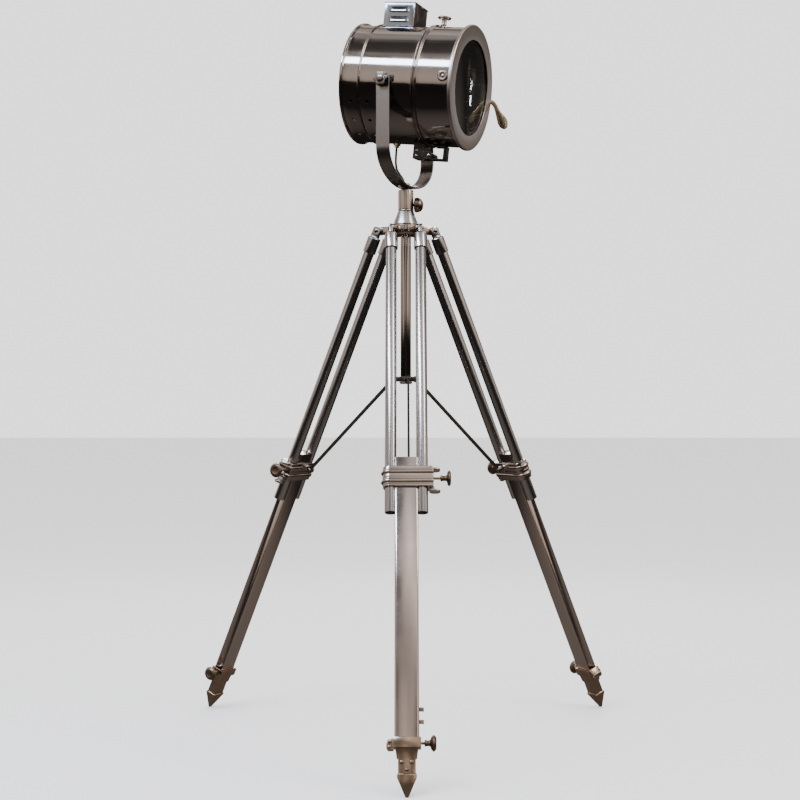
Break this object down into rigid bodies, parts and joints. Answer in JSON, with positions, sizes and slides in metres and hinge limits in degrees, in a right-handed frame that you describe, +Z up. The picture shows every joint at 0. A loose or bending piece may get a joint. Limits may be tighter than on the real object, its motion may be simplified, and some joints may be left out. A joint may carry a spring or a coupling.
{
  "type": "tripod floor lamp",
  "caption": "Floor lamp with a drum-shaped spotlight head in a swivelling yoke on a folding telescopic tripod with braced legs and spiked feet.",
  "frame": {"origin": "middle of the whole lamp in plan, on the ground plane that the three spikes stand on", "axes": "+Z up, -Y towards the front leg, +X to the side the clamp screw of the front leg points to"},
  "size_m": [0.9708, 0.8668, 1.6443],
  "materials": {
    "polished_nickel": "mirror-polished nickel plate, warm grey",
    "brushed_steel": "steel tube brushed along its length",
    "bar_nickel": "nickel-plated drawn bar, fairly bright",
    "clamp_nickel": "cast clamp with a warm polished plate",
    "satin_metal": "dull satin grey-brown plate",
    "antique_bronze": "dark antique bronze with lighter worn edges",
    "blackened_steel": "blackened, half-matt",
    "light_brass": "pale polished brass",
    "white_holder": "off-white moulded lamp holder",
    "clear_glass": "clear flat glass",
    "bulb_glass": "pearl glass bulb",
    "black_flex": "black round flex"
  },
  "bodies": {
    "base": {"hub_spider": "polished_nickel", "hub_cone": "brushed_steel", "stem_socket": "polished_nickel", "centre_column": "polished_nickel", "column_stop": "polished_nickel"},
    "stem_knob": {"stem_lock_knob": "antique_bronze"},
    "collar": {"brace_collar": "blackened_steel"},
    "front_upper_leg": {"front_tube_a": "brushed_steel", "front_tube_b": "brushed_steel", "front_ferrule_a": "brushed_steel", "front_ferrule_b": "brushed_steel", "front_clamp": "clamp_nickel"},
    "front_lower_leg": {"front_lower_bar": "bar_nickel", "front_foot_shoe": "antique_bronze", "front_spike": "antique_bronze"},
    "front_clamp_knob": {"front_clamp_screw": "antique_bronze"},
    "front_foot_knob": {"front_foot_screw": "antique_bronze"},
    "front_brace_arm": {"front_brace": "blackened_steel"},
    "right_upper_leg": {"right_tube_a": "brushed_steel", "right_tube_b": "brushed_steel", "right_ferrule_a": "brushed_steel", "right_ferrule_b": "brushed_steel", "right_clamp": "clamp_nickel"},
    "right_lower_leg": {"right_lower_bar": "bar_nickel", "right_foot_shoe": "antique_bronze", "right_spike": "antique_bronze"},
    "right_clamp_knob": {"right_clamp_screw": "antique_bronze"},
    "right_foot_knob": {"right_foot_screw": "antique_bronze"},
    "right_brace_arm": {"right_brace": "blackened_steel"},
    "left_upper_leg": {"left_tube_a": "brushed_steel", "left_tube_b": "brushed_steel", "left_ferrule_a": "brushed_steel", "left_ferrule_b": "brushed_steel", "left_clamp": "clamp_nickel"},
    "left_lower_leg": {"left_lower_bar": "bar_nickel", "left_foot_shoe": "antique_bronze", "left_spike": "antique_bronze"},
    "left_clamp_knob": {"left_clamp_screw": "antique_bronze"},
    "left_foot_knob": {"left_foot_screw": "antique_bronze"},
    "left_brace_arm": {"left_brace": "blackened_steel"},
    "swivel": {"yoke": "satin_metal", "cable_eye": "polished_nickel"},
    "near_knob": {"tilt_knob_near": "satin_metal"},
    "far_knob": {"tilt_knob_far": "satin_metal"},
    "head": {"barrel": "polished_nickel", "rear_cover": "polished_nickel", "chimney": "polished_nickel", "lamp_holder": "white_holder", "bulb": "bulb_glass", "cable_gland": "light_brass", "hinge_bracket": "blackened_steel", "head_flex": "black_flex"},
    "door": {"front_sleeve": "polished_nickel", "front_rim": "satin_metal", "lens": "clear_glass", "lens_retainer": "blackened_steel", "hinge_leaf": "blackened_steel"},
    "top_thumbscrew": {"top_screw": "antique_bronze"},
    "latch": {"latch_lever": "light_brass"}
  },
  "joints": [
    {"name": "head_yaw", "type": "hinge", "parent": "base", "child": "swivel", "pos_m": [0, 0.12169, 1.2], "axis": [0, 0, 1], "range_deg": [-170, 170]},
    {"name": "head_tilt", "type": "hinge", "parent": "swivel", "child": "head", "pos_m": [0, 0.12169, 1.44652], "axis": [-0.3746, -0.9272, 0], "range_deg": [-40, 40], "deforming": ["head_flex"]},
    {"name": "front_door", "type": "hinge", "parent": "head", "child": "door", "pos_m": [0.05758, 0.09843, 1.29588], "axis": [0.3746, 0.9272, 0], "range_deg": [0, 75]},
    {"name": "latch_turn", "type": "hinge", "parent": "door", "child": "latch", "pos_m": [0.17683, 0.19208, 1.44368], "axis": [-0.3746, -0.9272, 0], "range_deg": [0, 60]},
    {"name": "top_screw_turn", "type": "hinge", "parent": "door", "child": "top_thumbscrew", "pos_m": [0.08448, 0.08756, 1.58144], "axis": [0.1066, -0.0431, 0.9934], "range_deg": [0, 360]},
    {"name": "near_knob_turn", "type": "hinge", "parent": "swivel", "child": "near_knob", "pos_m": [-0.05143, -0.00561, 1.44652], "axis": [-0.3746, -0.9272, 0], "range_deg": [0, 360]},
    {"name": "far_knob_turn", "type": "hinge", "parent": "swivel", "child": "far_knob", "pos_m": [0.05143, 0.24899, 1.44652], "axis": [0.3746, 0.9272, 0], "range_deg": [0, 360]},
    {"name": "stem_knob_turn", "type": "hinge", "parent": "base", "child": "stem_knob", "pos_m": [0, 0.12169, 1.19052], "axis": [1, 0, 0], "range_deg": [0, 360]},
    {"name": "front_fold", "type": "hinge", "parent": "base", "child": "front_upper_leg", "pos_m": [0, 0.06569, 1.13222], "axis": [1, 0, 0], "range_deg": [0, 22]},
    {"name": "right_fold", "type": "hinge", "parent": "base", "child": "right_upper_leg", "pos_m": [0.0485, 0.14969, 1.13222], "axis": [-0.5, 0.866, 0], "range_deg": [0, 22]},
    {"name": "left_fold", "type": "hinge", "parent": "base", "child": "left_upper_leg", "pos_m": [-0.0485, 0.14969, 1.13222], "axis": [-0.5, -0.866, 0], "range_deg": [0, 22]},
    {"name": "collar_slide", "type": "slide", "parent": "base", "child": "collar", "axis": [0, 0, 1], "range_m": [0, 0.064]},
    {"name": "front_brace_swing", "type": "hinge", "parent": "collar", "child": "front_brace_arm", "pos_m": [0, 0.09169, 0.79702], "axis": [1, 0, 0], "range_deg": [0, 46]},
    {"name": "front_leg_slide", "type": "slide", "parent": "front_upper_leg", "child": "front_lower_leg", "axis": [0, 0.4019, 0.9157], "range_m": [0, 0.44]},
    {"name": "front_clamp_screw_turn", "type": "hinge", "parent": "front_upper_leg", "child": "front_clamp_knob", "pos_m": [0.055, -0.17347, 0.5874], "axis": [1, 0, 0], "range_deg": [0, 360]},
    {"name": "front_foot_screw_turn", "type": "hinge", "parent": "front_lower_leg", "child": "front_foot_knob", "pos_m": [0.0273, -0.39072, 0.09248], "axis": [1, 0, 0], "range_deg": [0, 360]},
    {"name": "right_brace_swing", "type": "hinge", "parent": "collar", "child": "right_brace_arm", "pos_m": [0.02598, 0.13669, 0.79702], "axis": [-0.5, 0.866, 0], "range_deg": [0, 46]},
    {"name": "right_leg_slide", "type": "slide", "parent": "right_upper_leg", "child": "right_lower_leg", "axis": [-0.3481, -0.201, 0.9157], "range_m": [0, 0.44]},
    {"name": "right_clamp_screw_turn", "type": "hinge", "parent": "right_upper_leg", "child": "right_clamp_knob", "pos_m": [0.22812, 0.3169, 0.5874], "axis": [-0.5, 0.866, 0], "range_deg": [0, 360]},
    {"name": "right_foot_screw_turn", "type": "hinge", "parent": "right_lower_leg", "child": "right_foot_knob", "pos_m": [0.43011, 0.40154, 0.09248], "axis": [-0.5, 0.866, 0], "range_deg": [0, 360]},
    {"name": "left_brace_swing", "type": "hinge", "parent": "collar", "child": "left_brace_arm", "pos_m": [-0.02598, 0.13669, 0.79702], "axis": [-0.5, -0.866, 0], "range_deg": [0, 46]},
    {"name": "left_leg_slide", "type": "slide", "parent": "left_upper_leg", "child": "left_lower_leg", "axis": [0.3481, -0.201, 0.9157], "range_m": [0, 0.44]},
    {"name": "left_clamp_screw_turn", "type": "hinge", "parent": "left_upper_leg", "child": "left_clamp_knob", "pos_m": [-0.28312, 0.22164, 0.5874], "axis": [-0.5, -0.866, 0], "range_deg": [0, 360]},
    {"name": "left_foot_screw_turn", "type": "hinge", "parent": "left_lower_leg", "child": "left_foot_knob", "pos_m": [-0.45741, 0.35426, 0.09248], "axis": [-0.5, -0.866, 0], "range_deg": [0, 360]}
  ],
  "couplings": [
    {"joint": "right_fold", "follows": "front_fold", "ratio": 1},
    {"joint": "left_fold", "follows": "front_fold", "ratio": 1},
    {"joint": "collar_slide", "follows": "front_fold", "m_per_rad": 0.16453},
    {"joint": "front_brace_swing", "follows": "front_fold", "ratio": 2.0789},
    {"joint": "right_brace_swing", "follows": "front_fold", "ratio": 2.0789},
    {"joint": "left_brace_swing", "follows": "front_fold", "ratio": 2.0789}
  ]
}
